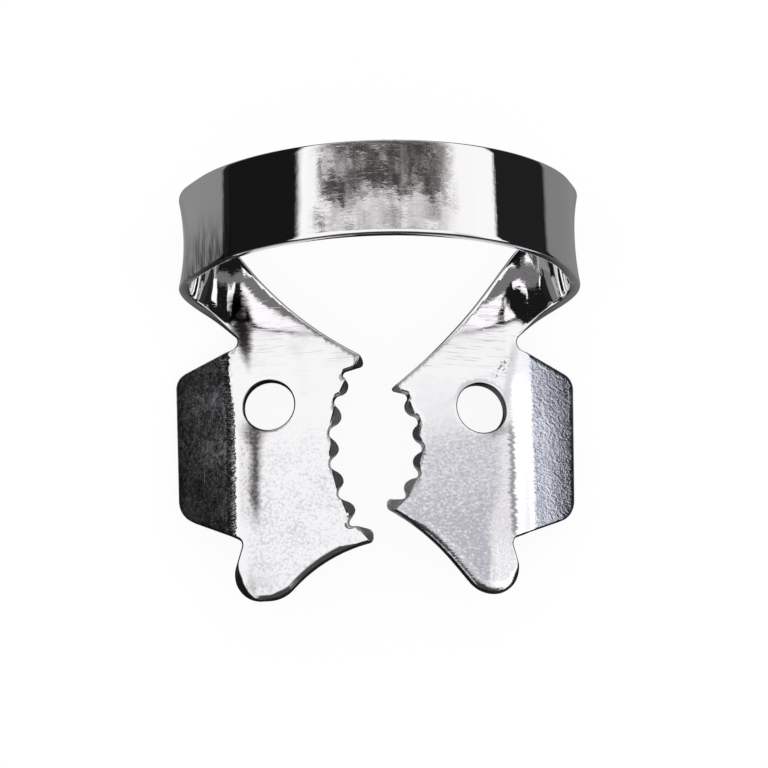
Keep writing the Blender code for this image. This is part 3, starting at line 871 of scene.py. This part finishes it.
def floorMaterial():
    # White to the camera, with the clamp's shadow. The steel sees a grey sheet at both sides, a
    # bright one under the bow, a grey one in the gap between the jaws, and dark elsewhere.
    material, g = newMaterial("floorSheet")
    x, y, _ = g.split(g.pick(g.node("ShaderNodeTexCoord", {}, {}), "Object"))
    path = g.node("ShaderNodeLightPath", {}, {})
    camera, glossy = g.pick(path, "Is Camera Ray"), g.pick(path, "Is Glossy Ray")
    through = g.pick(path, "Is Transmission Ray")
    at = floorPlaces
    sides = (abs(x).ramp(*at["sideFrom"]) * x.ramp(*at["leftEnd"]) * x.ramp(*at["rightEnd"])
             * y.ramp(*at["sideFront"]))
    sides = sides * (1 - x.ramp(*at["leftToRight"]) * studio["rightSheetLoss"])
    under = abs(x).ramp(*at["underBowEnds"]) * y.ramp(*at["underBowFront"])
    gap = (x.ramp(*at["gapLeft"]) * y.ramp(*at["gapLeftBack"])
           + x.ramp(*at["gapRight"]) * y.ramp(*at["gapRightFront"]))
    gap = gap * x.ramp(*at["gapRightEnd"]) * y.ramp(*at["gapBack"]) * y.ramp(*at["gapFront"])
    level = (studio["darkInSteel"] + sides * studio["sheetInSteel"] + under * studio["underBow"]
             + gap * studio["gapInSteel"])
    white, plainPaper, dimPaper = [
        (studio[tone],) * 3 + (1,) for tone in ("floorWhite", "floorPaper", "floorShade")]
    colour = g.blend(glossy, white, g.join(level, level, level))
    glow = g.pick(g.node("ShaderNodeEmission", {}, {"Color": colour, "Strength": 1.0}))
    paper = g.pick(g.node("ShaderNodeBsdfDiffuse", {}, {"Color": plainPaper}))
    shade = g.pick(g.node("ShaderNodeBsdfDiffuse", {}, {"Color": dimPaper}))
    shown = g.pick(g.node("ShaderNodeAddShader", {}, {0: glow, 1: shade}))
    reflected = g.pick(g.node("ShaderNodeMixShader", {}, {0: glossy, 1: shown, 2: glow}))
    direct = g.math("ADD", camera + glossy, through, clamp=True)
    surface = g.node("ShaderNodeMixShader", {}, {0: direct, 1: paper, 2: reflected})
    g.node("ShaderNodeOutputMaterial", {}, {"Surface": g.pick(surface)})
    return material


def cardMaterial():
    # Black card that fades unevenly into the bright ceiling at its top.
    material, g = newMaterial("darkCard")
    _, y, z = g.split(g.pick(g.node("ShaderNodeTexCoord", {}, {}), "Object"))
    fibres = g.join(y * studio["leftCardFibres"][0], z * studio["leftCardFibres"][1], 0.0)
    uneven = (g.noise(fibres, 1.0, 3.0, 0.6) - 0.5) * studio["leftCardUneven"]
    fade = (z + uneven).ramp(studio["leftCardFade"], studio["leftCardHeight"])
    level = studio["leftCardBlack"] + fade * studio["overhead"]
    glowOnly(g, g.join(level, level, level))
    return material


ceilingLook = {
    "frontLine": 32.1,  # y in millimetres of what the bow's front edge sees, at x = bendAt
    "bendAt": 3.0,
    "bend": 0.0022,
    "depth": 4.7,  # how far behind it the bow's back edge sees
    "stretch": 0.06,
    "cloudScale": 0.75,
    "fineScale": 3.2,
    "cloudDrift": 1.9,
    "fineDrift": 0.9,
    "driftAcross": 42.0,
    "driftUp": 0.35,
    "leftEnd": (-54.0, -38.0),
    "rightEnd": (47.0, 30.0),
    "farRight": (54.0, 44.0),
    "greyFrom": (38.0, 43.0),
    "greyBack": (33.5, 28.5),
    "frontDim": 0.42,
    "backDim": 0.32,
    "rightDim": 0.20,
    "edgeDim": 0.6,
    "cloudDim": 2.5,
    "fineDim": 1.5,
    "darkest": 0.94,
    "warmGreen": 0.06,  # how much less green and blue there is where it is dim
    "warmBlue": 0.08,
    "greyRed": 0.02,
    "greyGreen": 0.03,
}


def ceilingMaterial():
    # Bright ceiling with a dark cloudy shape in its middle, as the bow shows it. The bow squeezes x
    # about ten times and leaves y as it is, so the clouds are drawn out along x, and its front edge
    # sees the parabola y = frontLine + bend (x - bendAt)^2.
    material, g = newMaterial("ceiling")
    look = ceilingLook
    x, y, _ = g.split(g.pick(g.node("ShaderNodeTexCoord", {}, {}), "Object"))
    x, y = x * perMetre, y * perMetre
    fromBend = x - look["bendAt"]
    up = (y - look["frontLine"] - fromBend * fromBend * look["bend"]) / look["depth"]
    cloudPlace = g.join(x * look["stretch"], up * look["depth"], 0.0)
    cloud = g.noise(cloudPlace, look["cloudScale"], 5.0, 0.66) - 0.5
    fine = g.noise(cloudPlace, look["fineScale"], 3.0, 0.7) - 0.5
    drift = cloud * look["cloudDrift"] + fine * look["fineDrift"]
    across = x + drift * look["driftAcross"]
    above = up + drift * look["driftUp"]
    veil = across.ramp(*look["leftEnd"]) * across.ramp(*look["rightEnd"]) * x.ramp(*look["farRight"])
    nearEdge = above.ramp(0.14, 0.04) * up.ramp(-0.15, -0.05)
    farBack = above.ramp(0.70, 0.96) * (look["backDim"] + across.ramp(-36.0, -22.0) * look["rightDim"])
    dim = (look["frontDim"] + farBack + nearEdge * look["edgeDim"] + cloud * look["cloudDim"]
           + fine * look["fineDim"])
    dim = g.math("MAXIMUM", g.math("MINIMUM", dim, look["darkest"]), 0.0) * veil
    dim = dim * (up - x.ramp(-24.0, -30.0) * 0.3).ramp(-0.15, -0.03)
    grey = (x + fine * 8.0).ramp(*look["greyFrom"]) * (y + fine * 6.0).ramp(*look["greyBack"])
    level = studio["overhead"] * (1 - dim)
    level = level - grey * (level - studio["greyLevel"])
    warm = dim * (1 - grey)
    red = level * (1 - grey * look["greyRed"])
    green = level * (1 - warm * look["warmGreen"] - grey * look["greyGreen"])
    blue = level * (1 - warm * look["warmBlue"])
    glowOnly(g, g.join(red, green, blue))
    return material


curlPictures = {
    "left": {"low": 9.1, "slope": 0.95, "highest": 10.85, "top": 11.55,
             "whiteEdge": 6.65, "lean": 0.35, "once": 0.04,
             "patchEdge": 8.0, "patchLow": (9.5, 0.0), "patchHigh": (11.0, 0.0),
             "rim": 10.7, "rimHigh": (11.0, 0.0), "rimEdge": 7.05},
    "right": {"low": 9.3, "slope": 0.55, "highest": 12.0, "top": 12.75,
              "whiteEdge": 6.75, "lean": 0.25, "once": 0.26,
              "patchEdge": 8.15, "patchLow": (10.0, 0.6), "patchHigh": (10.5, 0.75),
              "rim": 10.42, "rimHigh": (12.05, 0.45), "rimEdge": 9.6},
}


curlShape = {  # shared by both pictures, in millimetres
    "arcFrom": 5.5,
    "patchFrom": 8.0,
    "rimFrom": 7.3,
    "rimSlope": 0.9,
    "leanFrom": 7.4,
    "leanMiddle": 8.8,
    "wearStretch": (2.4, 0.9),
    "arcWear": 0.25,
    "whiteWear": 0.9,
    "patchWear": 0.3,
    "sideWear": 0.4,
}


def curlMaterial(name, look):
    # What a curl shows of the other side, by y and z in millimetres: white low down, a grey band
    # over it that ends in the dark, a white rim behind, and one white patch. The white is full only
    # where one part of the curl shows it to another, and dim where a curl shows it straight.
    material, g = newMaterial(name)
    _, y, z = g.split(g.pick(g.node("ShaderNodeTexCoord", {}, {}), "Object"))
    y, z = y * perMetre, z * perMetre
    shape = curlShape
    stretchY, stretchZ = shape["wearStretch"]
    rough = g.noise(g.join(y * stretchY, z * stretchZ, 0.0), 1.0, 3.0, 0.6) - 0.5
    # Each pair is a place at z = patchFrom or rimFrom, and how far that place moves per unit of z.
    (patchLow, lowSlope), (patchHigh, highSlope) = look["patchLow"], look["patchHigh"]
    rimHigh, rimSlope = look["rimHigh"]
    arcStart = g.math("MINIMUM", (z - shape["arcFrom"]) * look["slope"] + look["low"], look["highest"])
    arc = y - arcStart + rough * shape["arcWear"]
    band = arc.ramp(-0.06, 0.08) * y.ramp(look["top"], look["top"] - 0.12)
    lean = (g.math("MAXIMUM", y, shape["leanFrom"]) - shape["leanMiddle"]) * look["lean"]
    white = (arc.ramp(0.08, -0.06)
             * (z - lean + rough * shape["whiteWear"]).ramp(look["whiteEdge"] + 0.15, look["whiteEdge"] - 0.1))
    fromPatch, wornSide = z - shape["patchFrom"], rough * shape["sideWear"]
    patch = ((z + rough * shape["patchWear"]).ramp(look["patchEdge"], look["patchEdge"] + 0.1)
             * (y - fromPatch * lowSlope - patchLow + wornSide).ramp(-0.05, 0.05)
             * (y - fromPatch * highSlope - patchHigh + wornSide).ramp(0.05, -0.05))
    rimStart = g.math("MINIMUM", (z - shape["arcFrom"]) * shape["rimSlope"] + look["rim"],
                      (z - shape["rimFrom"]) * rimSlope + rimHigh)
    rim = ((y - rimStart).ramp(0.0, 0.1) * z.ramp(look["rimEdge"], look["rimEdge"] - 0.1)
           * y.ramp(look["top"] + 0.2, look["top"]))
    bright = g.math("MAXIMUM", white, g.math("MAXIMUM", patch, rim))
    grey = studio["darkInSteel"] + band * studio["curlGrey"]
    twice = g.pick(g.node("ShaderNodeLightPath", {}, {}), "Glossy Depth").ramp(1.4, 1.6)
    level = grey + bright * (look["once"] + twice * (studio["curlWhite"] - look["once"]) - grey)
    glowOnly(g, g.join(level, level, level))
    return material


def studioWorld():
    # White to the camera and to the floor. In the steel: a bright sky over a dark horizon, and
    # dark straight ahead of the lobes.
    world = bpy.data.worlds.new("studio")
    world.use_nodes = True
    world.node_tree.nodes.clear()
    bpy.context.scene.world = world
    g = Shade(world.node_tree)
    x, y, z = g.split(g.pick(g.node("ShaderNodeTexCoord", {}, {}), "Generated"))
    above = z - (studio["horizon"] - studio["horizonTilt"] * x)
    ahead = (y + abs(x).ramp(0.20, 0.33) * 0.2).ramp(0.06, -0.14) * x.ramp(0.8, 0.6) * x.ramp(-0.55, -0.35)
    sky = above.ramp(-0.02, 0.025) * (1 - ahead * studio["aheadDark"])
    level = studio["darkInSteel"] + sky * studio["overhead"]
    glossy = g.pick(g.node("ShaderNodeLightPath", {}, {}), "Is Glossy Ray")
    colour = g.blend(glossy, (1, 1, 1, 1), g.join(level, level, level))
    back = g.node("ShaderNodeBackground", {}, {"Color": colour, "Strength": 1.0})
    g.node("ShaderNodeOutputWorld", {}, {"Surface": g.pick(back)})


def flatCorners(low, high, height):
    # Corners of a level rectangle from (x, y) low to (x, y) high.
    return [(*low, height), (high[0], low[1], height), (*high, height), (low[0], high[1], height)]


def uprightCorners(x, outline):
    # Corners of a card that stands at x, from its (y, z) outline.
    return [(x, y, z) for y, z in outline]


reach, wide, tall = studio["floorReach"], studio["leftCardReach"], studio["leftCardHeight"]
floorSheet = plane("floorSheet", flatCorners((-reach, -reach), (reach, reach), 0), floorMaterial())
cardCorners = uprightCorners(-studio["leftCard"], ((-wide, 0), (wide, 0), (wide, tall), (-wide, tall)))
leftCard = onlyInSteel(plane("leftCard", cardCorners, cardMaterial()))
ceilingCorners = flatCorners(*studio["ceilingSpan"], studio["ceilingHeight"])
ceiling = onlyInSteel(plane("ceiling", ceilingCorners, ceilingMaterial()))
for name, way in (("left", -1), ("right", 1)):
    corners = uprightCorners(way * studio["curlAside"], studio["curlOutline"])
    title = name + "CurlCard"
    onlyInSteel(plane(title, corners, curlMaterial(title, curlPictures[name])))
studioWorld()

view = {
    "towardCamera": (-0.08368, -0.11792, 0.98949),
    "up": (-0.00114, 0.99298, 0.11824),
    "aim": (-0.0000283, 0.0000591, 0.0016506),
    "distance": 0.260,
    "aside": 0.0003,
    "lens": 243.75,
    "sensor": 36,
    "clipStart": 0.01,
}


def makeCamera():
    # Looks at the aim from the distance given, as a long lens nearly overhead.
    camera = bpy.data.objects.new("camera", bpy.data.cameras.new("camera"))
    bpy.context.collection.objects.link(camera)
    back = Vector(view["towardCamera"]).normalized()
    right = Vector(view["up"]).cross(back).normalized()
    place = Vector(view["aim"]) + back * view["distance"] + right * view["aside"]
    turn = Matrix((right, back.cross(right), back)).transposed().to_4x4()
    camera.matrix_world = Matrix.Translation(place) @ turn
    camera.data.sensor_width = view["sensor"]
    camera.data.lens = view["lens"]
    camera.data.clip_start = view["clipStart"]
    bpy.context.scene.camera = camera


makeCamera()
bpy.context.scene.view_settings.view_transform = "Standard"
print("studio ready")
